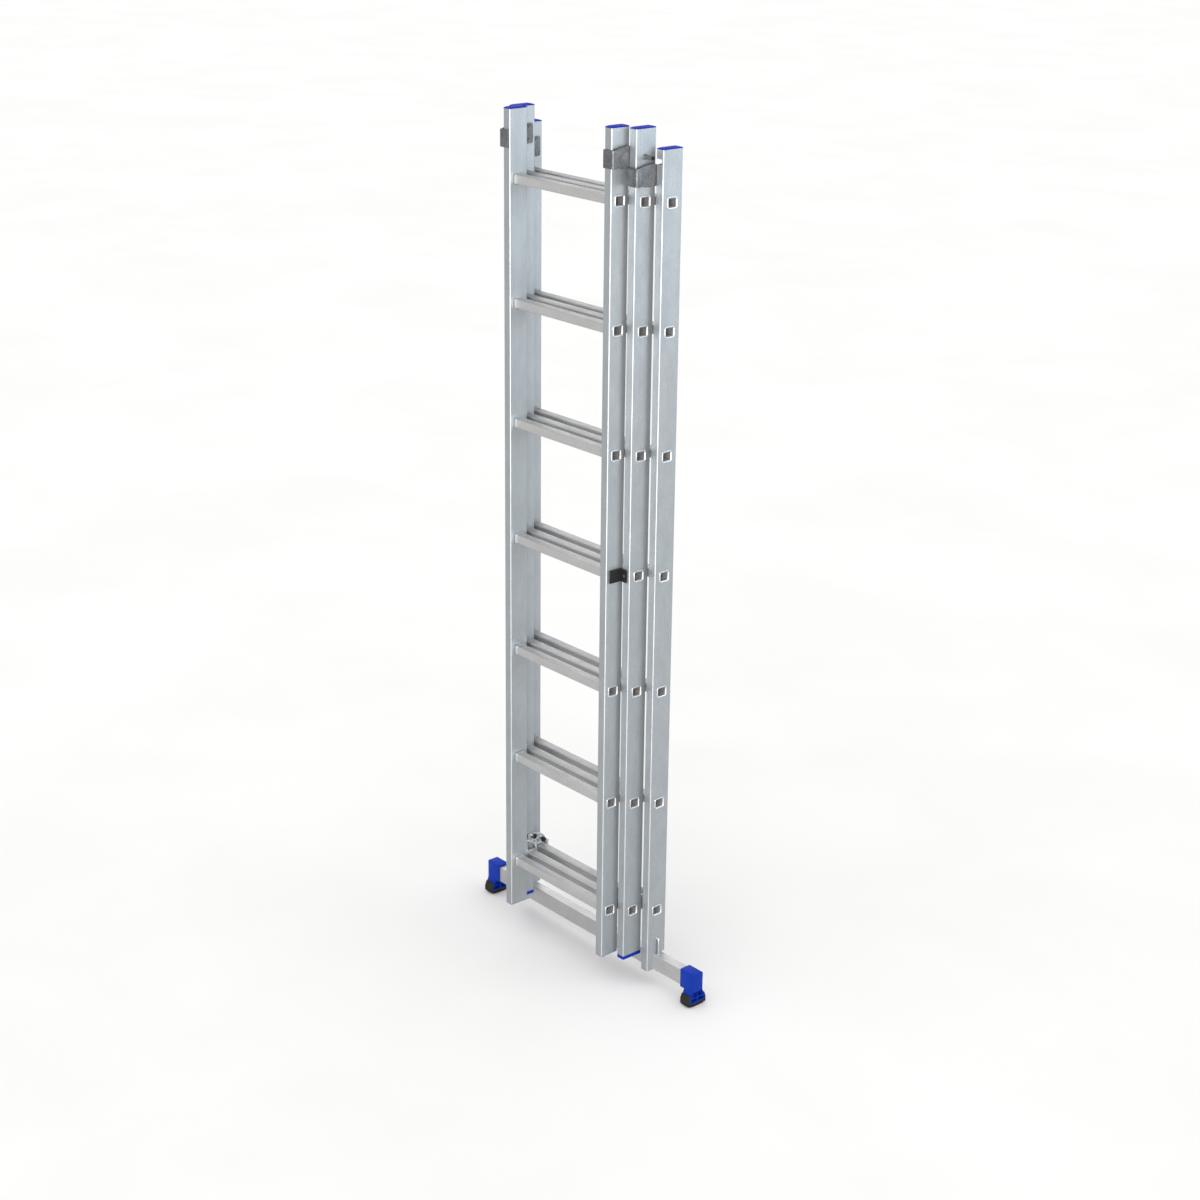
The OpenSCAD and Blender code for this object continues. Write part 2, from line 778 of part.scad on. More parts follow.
module foot(side) color(blue) on_side(side)
    translate([0, bar_mid_y, 0])
        difference() {
            sleeve_h = bar_height + 2 * foot_wall + 2;
            union() {
                // Sleeve over the end of the bar
                along_x(foot_half - foot_sleeve, foot_half)
                    translate([0, pad_top + sleeve_h / 2])
                        rounded_rect(2 * foot_front, sleeve_h, 2.5);
                along_x(foot_half - pad_length, foot_half)
                    pad_outline(0);
            }
            translate([foot_half - foot_sleeve - 1, -bar_depth / 2, bar_clearance])
                cube([foot_sleeve - foot_wall + 1, bar_depth, bar_height]);
            for (x = [foot_half - pad_length - 1, foot_half - 8])
                along_x(x, x + 9)
                    difference() {
                        pad_outline(2);
                        pad_ribs();
                    }
        }

// Rubber tray under the pad. Its underside is a shallow rocker with cross bars.
module sole(side) color(black) on_side(side)
    translate([0, bar_mid_y, 0])
        along_x(foot_half - pad_length - 0.6, foot_half)
            sole_outline();

module sole_outline() {
    half = pad_width / 2;
    gap = pad_width / (sole_grooves + 1);
    wall_top = widest_z + (pad_top - widest_z) * 0.6;
    rocker = 95;
    difference() {
        polygon([
            [-half, 0], [half, 0], [half, widest_z],
            [flare(wall_top) + sole_wall, wall_top], [-flare(wall_top) - sole_wall, wall_top],
            [-half, widest_z]
        ]);
        polygon([
            [-pad_wide, pad_low], [pad_wide, pad_low], [pad_wide, widest_z],
            [flare(wall_top + 2), wall_top + 2], [-flare(wall_top + 2), wall_top + 2],
            [-pad_wide, widest_z]
        ]);
        difference() {
            translate([-half - 1, -1])
                square([pad_width + 2, 12]);
            translate([0, rocker - 0.4])
                circle(rocker, $fn = 360);
        }
        for (i = [-sole_grooves / 2 : sole_grooves / 2 - 1])
            translate([(i + 0.5) * gap - 1.2, -1])
                square([2.4, 4.4 + pow((i + 0.5) * gap, 2) / (2 * rocker)]);
    }
}

// ---------- assembly ----------

top_stile("left");  // top_left_stile
top_stile("right");  // top_right_stile
mid_stile("left");  // mid_left_stile
mid_stile("right");  // mid_right_stile
base_stile("left");  // base_left_stile
base_stile("right");  // base_right_stile
for (i = [1 : rung_count]) {
    rung(TOP, i - 1);
    rung(MID, i - 1);
    rung(BASE, i - 1);
}
for (e = ["left", "right"]) {
    top_cap(TOP, e);
    top_cap(MID, e);
    top_cap(BASE, e);
    guide(MID, TOP, mid_guide_z, top_guide_front(), e);
    guide(BASE, MID, base_guide_z, mid_guide_front(), e);
    top_hook(e);
    mid_hook(e);
    latch(e);
    latch_knob(e);
    foot(e);
    sole(e);
}
top_end_plugs();
mid_boots();
mid_guide_clips();
latch_pivot_bolts();
hinge_pins();
top_rivets();
mid_rivets();
base_rivets();
stabiliser_bar();
bar_hook_bolts();
bar_nuts();
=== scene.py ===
"""Looks of a nested three-section aluminium ladder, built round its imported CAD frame."""

import logging
import math
from dataclasses import dataclass, field
from enum import Enum
from typing import Any, Callable, Iterable, Sequence

import bmesh
import bpy
from mathutils import Matrix, Vector


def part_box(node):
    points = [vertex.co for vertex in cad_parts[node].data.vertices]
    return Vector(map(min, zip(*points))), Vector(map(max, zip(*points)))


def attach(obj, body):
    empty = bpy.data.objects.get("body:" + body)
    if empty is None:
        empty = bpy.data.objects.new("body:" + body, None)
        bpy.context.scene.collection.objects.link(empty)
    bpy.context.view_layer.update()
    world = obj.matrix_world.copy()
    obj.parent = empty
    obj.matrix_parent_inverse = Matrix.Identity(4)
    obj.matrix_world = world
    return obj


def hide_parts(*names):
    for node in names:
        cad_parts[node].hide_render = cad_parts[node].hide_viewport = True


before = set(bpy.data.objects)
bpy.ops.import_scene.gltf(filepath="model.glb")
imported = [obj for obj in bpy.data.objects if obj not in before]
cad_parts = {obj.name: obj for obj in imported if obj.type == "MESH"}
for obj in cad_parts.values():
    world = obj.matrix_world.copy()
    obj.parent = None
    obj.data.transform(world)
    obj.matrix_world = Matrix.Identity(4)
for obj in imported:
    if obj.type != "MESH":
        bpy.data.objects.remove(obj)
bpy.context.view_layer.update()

MM = 0.001
MIDDLE = (0.3, 0.7)  # where most values of a noise lie
GRAIN_SHIFT = 37.0  # sets the grain of one piece well apart from the next
CAD_WELD = 2e-6  # metres; CAD points nearer than this are one point
FLAT_DEG = 0.6  # faces that bend less than this are one face
CREASE_DEG = 28.0  # edges of a CAD shape that bend more than this get rounded
SOFT_DEG = 50.0  # edges of a rounded shape that bend more than this stay sharp
CORNER_STEPS = 5  # steps in each round corner of an outline
log = logging.getLogger("ladder")

Material = bpy.types.Material
Tree = bpy.types.NodeTree
Socket = bpy.types.NodeSocket
Piece = bpy.types.Object
Tone = tuple[float, float, float, float]
Outline = list[tuple[float, float]]
Curve = tuple[tuple[float, float], ...]
Ring = list[Vector]


class Axis(Enum):
    """Direction that a profile was drawn or a pin was turned along."""

    X = 0
    Y = 1
    Z = 2


class Side(Enum):
    """Side of the ladder, as a climber sees it."""

    LEFT = -1
    RIGHT = 1

    @property
    def word(self) -> str:
        """The side's name as the CAD nodes spell it."""
        return self.name.lower()


# ---- node helper


def linear(hex_code: str) -> Tone:
    """Turns an sRGB colour into the linear one that shaders take.

    Args:
        hex_code: Colour as "#RRGGBB".

    Returns:
        Linear red, green and blue, with an alpha of 1.
    """
    parts = [int(hex_code[i : i + 2], 16) / 255 for i in (1, 3, 5)]
    r, g, b = (c / 12.92 if c <= 0.04045 else ((c + 0.055) / 1.055) ** 2.4 for c in parts)
    return (r, g, b, 1.0)


def add_node(
    tree: Tree, kind: str, inputs: dict[Any, Any] | None = None, **settings: Any
) -> bpy.types.Node:
    """Adds a node, sets it up and links it.

    Args:
        tree: Node tree that takes the node.
        kind: Type name of the node without its "ShaderNode" prefix.
        inputs: Input name or number to a value, or to the socket that feeds it.
        **settings: Properties of the node itself.

    Returns:
        The new node.
    """
    node = tree.nodes.new("ShaderNode" + kind)
    for name, value in settings.items():
        setattr(node, name, value)
    for key, value in (inputs or {}).items():
        if isinstance(value, Socket):
            tree.links.new(value, node.inputs[key])
        else:
            node.inputs[key].default_value = value
    return node


def sized_grain(
    tree: Tree,
    size_mm: tuple[float, float, float],
    detail: float = 3.0,
    roughness: float = 0.55,
    shift: float = 0.0,
) -> Socket:
    """Noise whose grain has a real size along each axis, different on every object.

    Args:
        tree: Node tree of the material.
        size_mm: Grain size along X, Y and Z in millimetres.
        detail: Octaves of the noise.
        roughness: Share of the finer octaves.
        shift: Offset that sets two noises of one material apart.

    Returns:
        The socket with values from 0 to 1.
    """
    place = add_node(tree, "TexCoord")
    piece = add_node(tree, "ObjectInfo")
    chance = piece.outputs["Random"]
    offset = add_node(
        tree, "Math", {0: chance, 1: GRAIN_SHIFT, 2: shift}, operation="MULTIPLY_ADD"
    )
    mapping = add_node(
        tree,
        "Mapping",
        {
            "Vector": place.outputs["Object"],
            "Location": offset.outputs[0],
            "Scale": tuple(1.0 / (s * MM) for s in size_mm),
        },
    )
    noise = add_node(
        tree,
        "TexNoise",
        {
            "Vector": mapping.outputs[0],
            "Scale": 1.0,
            "Detail": detail,
            "Roughness": roughness,
        },
    )
    return noise.outputs["Fac"]


def worn_tone(
    tree: Tree,
    pattern: Socket,
    under: Socket | Tone,
    over: Tone,
    most: float = 1.0,
    edges: tuple[float, float] = MIDDLE,
) -> Socket:
    """Lays one tone over another where a pattern is strong.

    Args:
        tree: Node tree of the material.
        pattern: Pattern with values from 0 to 1.
        under: Tone, or socket with the tones, that lies below.
        over: Tone that lies on top.
        most: Largest share of the top tone.
        edges: Pattern values where the top tone starts and where it is full.

    Returns:
        The socket with the mixed tone.
    """
    share = add_node(
        tree,
        "MapRange",
        {"Value": pattern, "From Min": edges[0], "From Max": edges[1], "To Max": most},
        interpolation_type="SMOOTHSTEP",
    )
    mix = add_node(tree, "Mix", {0: share.outputs[0], 6: under, 7: over}, data_type="RGBA")
    return mix.outputs[2]


# ---- finishes


@dataclass(frozen=True)
class Finish:
    """What every finish has: a name, and a shader fed by its own patterns."""

    name: str

    def skin(
        self,
        tree: Tree,
        tone: Socket,
        dull: tuple[Socket, float, float | Socket],
        relief: tuple[Socket, float, float],
    ) -> dict[str, Any]:
        """Gives the surface its tone, dullness and relief.

        Args:
            tree: Node tree of the material.
            tone: The colour.
            dull: Pattern, how much it dulls the surface, and the roughness without it.
            relief: Pattern, its strength and its depth in millimetres.

        Returns:
            The shader's inputs.
        """
        pattern, more, base = dull
        rough = add_node(tree, "Math", {0: pattern, 1: more, 2: base}, operation="MULTIPLY_ADD")
        height, strength, depth = relief
        bump = add_node(
            tree, "Bump", {"Strength": strength, "Distance": depth * MM, "Height": height}
        )
        return {"Base Color": tone, "Roughness": rough.outputs[0], "Normal": bump.outputs[0]}

    def look(self, tree: Tree) -> dict[str, Any]:
        """Adds the finish's patterns.

        Args:
            tree: Node tree of the material.

        Returns:
            The shader's inputs, as values or sockets.
        """
        raise NotImplementedError

    def build(self) -> Material:
        """Makes the material."""
        material = bpy.data.materials.new(self.name)
        material.use_nodes = True
        tree = material.node_tree
        tree.nodes.clear()
        shader = add_node(tree, "BsdfPrincipled", self.look(tree))
        add_node(tree, "OutputMaterial", {"Surface": shader.outputs[0]})
        return material


@dataclass(frozen=True)
class ExtrudedAluminium(Finish):
    """Aluminium 6063, hot extruded and left in its mill finish.

    The die leaves fine lines along the profile, so highlights are pulled out across them.
    A thin oxide bloom makes broad patches a little paler and duller.
    """

    along: Axis
    clean: str = "#A1A6A9"
    bloom: str = "#999EA1"
    rub: str = "#868B8E"
    roughness: float = 0.49
    # Sizes in millimetres across and along the profile. Real die lines are about 0.2 mm wide
    # and real oxide speckle about 0.5 mm; both are drawn coarser so that they show.
    line: tuple[float, float] = (1.6, 400.0)
    speckle: tuple[float, float] = (2.2, 2.2)
    patch: tuple[float, float] = (30.0, 60.0)
    scuff: tuple[float, float] = (3.0, 26.0)
    relief_mm: float = 0.06

    def drawn(self, size: tuple[float, float]) -> tuple[float, ...]:
        """Turns sizes across and along the profile into sizes along X, Y and Z."""
        return tuple(size[axis is self.along] for axis in Axis)

    def look(self, tree: Tree) -> dict[str, Any]:
        """Adds die lines, oxide speckle, bloom patches and scuffs.

        Args:
            tree: Node tree of the material.

        Returns:
            The shader's inputs.
        """
        speckle = sized_grain(tree, self.drawn(self.speckle), detail=2.0, shift=31.0)
        lines = sized_grain(tree, self.drawn(self.line), detail=4.0, roughness=0.65)
        broad = sized_grain(tree, self.drawn(self.patch), detail=2.0, shift=11.0)
        scuffs = sized_grain(
            tree, self.drawn(self.scuff), detail=5.0, roughness=0.7, shift=23.0
        )
        rub = linear(self.rub)
        tone = worn_tone(tree, broad, linear(self.clean), linear(self.bloom))
        tone = worn_tone(tree, lines, tone, rub, most=0.22, edges=(0.35, 0.75))
        tone = worn_tone(tree, speckle, tone, rub, most=0.4)
        tone = worn_tone(tree, scuffs, tone, rub, most=0.2, edges=(0.62, 0.74))
        shine = add_node(
            tree,
            "MapRange",
            {
                "Value": lines,
                "From Min": MIDDLE[0],
                "From Max": MIDDLE[1],
                "To Min": self.roughness - 0.03,
                "To Max": self.roughness + 0.06,
            },
            interpolation_type="SMOOTHSTEP",
        )
        dull, relief = (broad, 0.07, shine.outputs[0]), (lines, 0.35, self.relief_mm)
        return self.skin(tree, tone, dull, relief) | {"Metallic": 1.0}


@dataclass(frozen=True)
class RolledLipAluminium(Finish):
    """Aluminium at a rung's rolled lip and bead, paler as a painted highlight, with a faintly
    chalky grain.
    """

    # The pale tone is a painted highlight: it makes the lips and beads read as lit.
    pale: str = "#BEC2C4"
    chalk: str = "#A8ACAE"
    roughness: float = 0.4
    grain_mm: float = 1.2
    relief_mm: float = 0.06

    def look(self, tree: Tree) -> dict[str, Any]:
        """Adds the chalky grain.

        Args:
            tree: Node tree of the material.

        Returns:
            The shader's inputs.
        """
        grain = sized_grain(tree, (self.grain_mm,) * 3)
        tone = worn_tone(tree, grain, linear(self.pale), linear(self.chalk))
        dull, relief = (grain, 0.1, self.roughness), (grain, 0.3, self.relief_mm)
        return self.skin(tree, tone, dull, relief) | {"Metallic": 1.0}


@dataclass(frozen=True)
class ZincPlatedSteel(Finish):
    """Pressed steel sheet, zinc plated: dull grey with a faint crystal spangle."""

    light: str = "#6E7173"
    dark: str = "#57595B"
    spangle_mm: float = 5.0
    roughness: float = 0.56
    cloud_mm: float = 14.0
    grit_mm: float = 0.8
    relief_mm: float = 0.08

    def look(self, tree: Tree) -> dict[str, Any]:
        """Adds the spangle, the clouding of the plate and its grit.

        Args:
            tree: Node tree of the material.

        Returns:
            The shader's inputs.
        """
        place = add_node(tree, "TexCoord")
        cells = add_node(
            tree,
            "TexVoronoi",
            {"Vector": place.outputs["Object"], "Scale": 1.0 / (self.spangle_mm * MM)},
        )
        crystal = add_node(tree, "SeparateColor", {0: cells.outputs["Color"]})
        cloud = sized_grain(tree, (self.cloud_mm,) * 3, detail=4.0, shift=5.0)
        grit = sized_grain(tree, (self.grit_mm,) * 3, detail=2.0, shift=9.0)
        mottle = add_node(
            tree, "Math", {0: crystal.outputs[0], 1: 0.35, 2: cloud}, operation="MULTIPLY_ADD"
        )
        light, dark = linear(self.light), linear(self.dark)
        tone = worn_tone(tree, mottle.outputs[0], light, dark, edges=(0.35, 1.0))
        dull, relief = (cloud, 0.14, self.roughness), (grit, 0.3, self.relief_mm)
        return self.skin(tree, tone, dull, relief) | {"Metallic": 1.0}


@dataclass(frozen=True)
class MouldedPlastic(Finish):
    """Injection-moulded plastic with the fine spark grain of its mould.

    The grain breaks up the highlight, and handling leaves faint paler patches.
    """

    colour: str
    worn: str
    roughness: float
    ior: float = 1.49
    gloss: float = 0.14  # the grain's pits shade each other, so less shine than a polished face
    grain_mm: float = 0.9  # real spark grain is about 0.1 mm; drawn coarser so that it shows
    patch_mm: tuple[float, float, float] = (16.0, 16.0, 22.0)
    relief_mm: float = 0.12

    def look(self, tree: Tree) -> dict[str, Any]:
        """Adds the mould's grain and the handled patches.

        Args:
            tree: Node tree of the material.

        Returns:
            The shader's inputs.
        """
        grain = sized_grain(tree, (self.grain_mm,) * 3, detail=2.0)
        patch = sized_grain(tree, self.patch_mm, detail=4.0, shift=7.0)
        colour, worn = linear(self.colour), linear(self.worn)
        tone = worn_tone(tree, patch, colour, worn, most=0.55, edges=(0.45, 0.8))
        dull, relief = (patch, 0.12, self.roughness), (grain, 0.25, self.relief_mm)
        extra = {"IOR": self.ior, "Specular IOR Level": self.gloss}
        return self.skin(tree, tone, dull, relief) | extra


@dataclass(frozen=True)
class BackdropPaper(Finish):
    """Matt white background paper: no gloss and hardly any tone of its own."""

    name: str = "backdrop paper"
    pale: str = "#ECECEC"
    shade: str = "#E9E9E9"
    cloud_mm: float = 600.0

    def look(self, tree: Tree) -> dict[str, Any]:
        """Adds the paper's faint clouding.

        Args:
            tree: Node tree of the material.

        Returns:
            The shader's inputs.
        """
        fibre = sized_grain(tree, (self.cloud_mm,) * 3, detail=2.0)
        return {
            "Base Color": worn_tone(tree, fibre, linear(self.pale), linear(self.shade)),
            "Roughness": 0.9,
            "Specular IOR Level": 0.2,
        }


@dataclass(frozen=True)
class Finishes:
    """Every finish of the ladder, each made once."""

    stile: Material = field(
        default_factory=ExtrudedAluminium("extruded aluminium, upright", Axis.Z).build
    )
    # The rungs' copy is paler than the stiles': a painted highlight that makes up for the shade
    # the treads get between rungs. Its die lines run across.
    rung: Material = field(
        default_factory=ExtrudedAluminium(
            "extruded aluminium, across", Axis.X, "#B6B6B6", "#AEAEAE", "#949494"
        ).build
    )
    # Paler finish for the rung lips and beads: a painted highlight.
    rung_end: Material = field(
        default_factory=RolledLipAluminium("rolled aluminium").build
    )
    steel: Material = field(
        default_factory=ZincPlatedSteel("zinc-plated steel").build
    )
    # Paler than the pressed steel: partly real bright zinc, partly a painted highlight so that
    # the bolt bends read white.
    bright_steel: Material = field(
        default_factory=ZincPlatedSteel(
            "bright zinc on turned steel", "#B4B7B9", "#9C9FA1", 3.0, 0.34
        ).build
    )
    dark_steel: Material = field(
        default_factory=ZincPlatedSteel(
            "black-passivated steel", "#3A3B3D", "#262729", 3.0, 0.38
        ).build
    )
    blue: Material = field(
        default_factory=MouldedPlastic("blue polypropylene", "#0A26A2", "#1230AA", 0.42).build
    )
    foot_blue: Material = field(
        default_factory=MouldedPlastic(
            "bright blue polypropylene", "#0032A4", "#063AAC", 0.42
        ).build
    )
    nylon: Material = field(
        default_factory=MouldedPlastic(
            "black glass-filled nylon", "#29292A", "#3A3A3B", 0.5, ior=1.53
        ).build
    )
    rubber: Material = field(
        default_factory=MouldedPlastic(
            "black moulded rubber", "#2C2C2A", "#454542", 0.72, ior=1.52, grain_mm=1.4
        ).build
    )


# ---- mesh sketching


@dataclass
class Shell:
    """A mesh in the making, sketched from rings of points."""

    points: Ring = field(default_factory=list)
    faces: list[list[int]] = field(default_factory=list)

    def ring(self, ring: Iterable[Vector]) -> list[int]:
        """Adds a ring of points.

        Args:
            ring: The points in order.

        Returns:
            Their numbers in the mesh.
        """
        first = len(self.points)
        self.points.extend(ring)
        return list(range(first, len(self.points)))

    def loft(
        self, rings: Sequence[Ring], closed: bool = False, last_cap: bool = True
    ) -> None:
        """Skins rings of equal length, and caps the two ends.

        Args:
            rings: The rings from one end to the other.
            closed: True joins the last ring to the first in place of the caps.
            last_cap: False leaves the last ring open.
        """
        numbered = [self.ring(r) for r in rings]
        pairs = list(zip(numbered, numbered[1:]))
        if closed:
            pairs.append((numbered[-1], numbered[0]))
        for a, b in pairs:
            n = len(a)
            self.faces.extend(
                [a[i], a[(i + 1) % n], b[(i + 1) % n], b[i]] for i in range(n)
            )
        if not closed:
            self.faces.append(numbered[0][::-1])
            if last_cap:
                self.faces.append(numbered[-1])

    def revolve(
        self,
        profile: Sequence[tuple[float, float]],
        origin: Vector,
        way: Vector,
        sides: int = 32,
        last_cap: bool = True,
    ) -> None:
        """Turns a profile about an axis.

        Args:
            profile: Pairs of radius and height in millimetres, from one end to the other.
            origin: Point on the axis where height is zero.
            way: Direction of the axis.
            sides: Points in each ring.
            last_cap: False leaves the last ring open.
        """
        turn = way.normalized().to_track_quat("Z", "Y").to_matrix()
        self.loft(
            [
                [
                    origin + turn @ Vector((r * math.cos(t), r * math.sin(t), h)) * MM
                    for t in (2 * math.pi * i / sides for i in range(sides))
                ]
                for r, h in profile
            ],
            last_cap=last_cap,
        )

    def build(
        self, name: str, finish: Material, sharp_deg: float = 35.0
    ) -> Piece:
        """Turns the sketch into an object.

        Args:
            name: Name of the piece.
            finish: Its material.
            sharp_deg: Edges that bend more than this stay sharp.

        Returns:
            The object, in the scene.
        """
        mesh = bpy.data.meshes.new(name)
        mesh.from_pydata(self.points, [], self.faces)
        work = bmesh.new()
        work.from_mesh(mesh)
        bmesh.ops.remove_doubles(work, verts=work.verts, dist=1e-7)
        bmesh.ops.dissolve_degenerate(work, dist=1e-8, edges=work.edges)
        bmesh.ops.recalc_face_normals(work, faces=work.faces)
        work.to_mesh(mesh)
        work.free()
        return place_piece(name, mesh, finish, sharp_deg)


def place_piece(
    name: str, mesh: bpy.types.Mesh, finish: Material, sharp_deg: float = 35.0
) -> Piece:
    """Puts a mesh into the scene as a dressed piece.

    Args:
        name: Name of the piece.
        mesh: Its mesh.
        finish: Its material.
        sharp_deg: Edges that bend more than this stay sharp.

    Returns:
        The object.
    """
    mesh.materials.clear()
    mesh.materials.append(finish)
    mesh.shade_smooth()
    mesh.set_sharp_from_angle(angle=math.radians(sharp_deg))
    piece = bpy.data.objects.new(name, mesh)
    bpy.context.scene.collection.objects.link(piece)
    return piece


def fit_piece(piece: Piece, body: str, slot: str, *nodes: str) -> None:
    """Mounts a piece on its body and lets it stand for CAD nodes.

    Args:
        piece: The piece, already in place.
        body: CAD body that carries it.
        slot: Material slot of the record; not used.
        *nodes: CAD nodes that it stands for.
    """
    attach(piece, body)
    if nodes:
        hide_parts(*nodes)
    log.info("%s rides on %s (%d faces)", piece.name, body, len(piece.data.polygons))


def softened(
    node: str, name: str, finish: Material, edge_mm: float, segments: int = 2
) -> Piece:
    """Copies a CAD node's shape and breaks its sharp edges, as tumbling or a mould does.

    Args:
        node: CAD node to copy.
        name: Name of the new piece.
        finish: Its material.
        edge_mm: Width of the rounding in millimetres.
        segments: Steps across the rounding.

    Returns:
        The new piece.
    """
    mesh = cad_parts[node].data.copy()
    mesh.name = name
    work = bmesh.new()
    work.from_mesh(mesh)
    bmesh.ops.remove_doubles(work, verts=work.verts, dist=CAD_WELD)
    bmesh.ops.dissolve_limit(
        work, angle_limit=math.radians(FLAT_DEG), verts=work.verts, edges=work.edges
    )
    creases = [
        e
        for e in work.edges
        if len(e.link_faces) == 2 and e.calc_face_angle(0.0) > math.radians(CREASE_DEG)
    ]
    bmesh.ops.bevel(
        work,
        geom=creases,
        offset=edge_mm * MM,
        segments=segments,
        profile=0.5,
        affect="EDGES",
        clamp_overlap=True,
    )
    bmesh.ops.dissolve_degenerate(work, dist=1e-7, edges=work.edges)
    work.to_mesh(mesh)
    work.free()
    for shading in ("custom_normal", "sharp_edge"):
        if shading in mesh.attributes:
            mesh.attributes.remove(mesh.attributes[shading])
    return place_piece(name, mesh, finish, SOFT_DEG)


def solids_of(node: str) -> list[tuple[Vector, Vector]]:
    """Finds the separate solids of a CAD node.

    Args:
        node: CAD node with one or more solids.

    Returns:
        The box of each solid, from the lowest X up.
    """
    work = bmesh.new()
    work.from_mesh(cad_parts[node].data)
    bmesh.ops.remove_doubles(work, verts=work.verts, dist=CAD_WELD)
    unseen, boxes = set(work.verts), []
    while unseen:
        reached, front = set(), [unseen.pop()]
        while front:
            vert = front.pop()
            reached.add(vert)
            near = {e.other_vert(vert) for e in vert.link_edges} & unseen
            unseen -= near
            front.extend(near)
        low = Vector([min(v.co[i] for v in reached) for i in range(3)])
        high = Vector([max(v.co[i] for v in reached) for i in range(3)])
        boxes.append((low, high))
    work.free()
    return sorted(boxes, key=lambda b: (round(b[0].x, 4), round(b[0].z, 4), b[0].y))


def rounded_outline(width: float, height: float, radius: float) -> Outline:
    """Outline of a rectangle with round corners, about its own middle.

    Args:
        width: Size along the first axis.
        height: Size along the second axis.
        radius: Corner radius.

    Returns:
        The points, anticlockwise from the right of the lower right corner.
    """
    radius = max(1e-4, min(radius, width / 2 - 1e-4, height / 2 - 1e-4))
    points = []
    for corner, (sx, sy) in enumerate(((1, -1), (1, 1), (-1, 1), (-1, -1))):
        start = -90 + 90 * corner
        for i in range(CORNER_STEPS + 1):
            t = math.radians(start + 90 * i / CORNER_STEPS)
            points.append(
                (
                    sx * (width / 2 - radius) + radius * math.cos(t),
                    sy * (height / 2 - radius) + radius * math.sin(t),
                )
            )
    return points


# ---- sections


@dataclass
class FlaredRung:
    """Hollow rung: grooved tread, a bead at each stile and ends rolled over its outside."""

    depth: float = 24.0
    height: float = 21.0
    corner: float = 3.0
    grooves: int = 4
    groove_depth: float = 1.0
    groove_width: float = 2.1
    groove_floor: float = 0.6  # flat share of a groove's width
    bead: float = 1.9
    play: float = 0.02  # gap to the hole in the stile
    # (distance in from the stile's inner face, share of the bead's rise)
    bead_curve: Curve = (
        (11.0, 0.0), (8.5, 0.08), (6.8, 0.35), (5.4, 0.75), (4.2, 0.97), (3.4, 1.0),
        (2.4, 0.93), (1.5, 0.68), (0.8, 0.3), (0.3, 0.05),
    )
    # (distance out from the stile's outer face, offset from the tube)
    lip_curve: Curve = (
        (0.0, 0.0), (0.02, 2.7), (0.3, 2.95), (0.75, 3.0), (1.15, 2.8), (1.42, 2.35),
        (1.5, 1.8), (1.48, 1.1), (1.3, 0.4), (0.9, -0.3), (0.2, -0.95), (-1.2, -1.4),
        (-3.0, -1.5),
    )

    def outline(self, offset: float, cut: float) -> Outline:
        """Section of the rung in depth and height.

        Args:
            offset: How far the section is grown outward.
            cut: Depth of the grooves, zero for none.

        Returns:
            The points, with the grooves' points always present.
        """
        plain = rounded_outline(
            self.depth + 2 * offset, self.height + 2 * offset, self.corner + offset
        )
        span = self.depth - 2 * self.corner
        top = self.height / 2 + offset
        half = self.groove_width / 2
        tread = []
        for i in range(self.grooves):
            middle = span / 2 - (i + 0.5) * span / self.grooves
            tread += [
                (middle + half, top),
                (middle + half * self.groove_floor, top - cut),
                (middle - half * self.groove_floor, top - cut),
                (middle - half, top),
            ]
        front = 2 * (CORNER_STEPS + 1)  # points up to the tread's front edge
        return plain[:front] + tread + plain[front:]

    def build(
        self, inner: float, outer: float, name: str, finishes: Finishes
    ) -> bpy.types.Mesh:
        """Makes the mesh of one rung about its own middle.

        Args:
            inner: Distance from the middle to a stile's inner face, in millimetres.
            outer: Distance from the middle to a stile's outer face, in millimetres.
            name: Name of the mesh.
            finishes: The ladder's finishes.

        Returns:
            The mesh.
        """
        stations = [(inner - d, self.bead * s, self.groove_depth) for d, s in self.bead_curve]
        stations += [(inner, -self.play, self.groove_depth), (outer - 1.0, -self.play, 0.3)]
        stations += [(outer + d, o, 0.0) for d, o in self.lip_curve]
        half = [
            [Vector((x, u, v)) * MM for u, v in self.outline(o, c)] for x, o, c in stations
        ]
        other = [[Vector((-p.x, p.y, p.z)) for p in ring] for ring in half]
        shell = Shell()
        shell.loft(other[::-1] + half, closed=True)
        piece = shell.build(name, finishes.rung, 38.0)
        mesh = piece.data
        bpy.data.objects.remove(piece)
        # Second slot: the paler rolled finish on beads and lips, a painted highlight.
        mesh.materials.append(finishes.rung_end)
        bead_start = inner - self.bead_curve[0][0]
        for face in mesh.polygons:
            reach = min(abs(mesh.vertices[v].co.x) for v in face.vertices) / MM
            painted_highlight = bead_start + 0.1 < reach < inner or reach > outer - 0.5
            face.material_index = int(painted_highlight)
        return mesh


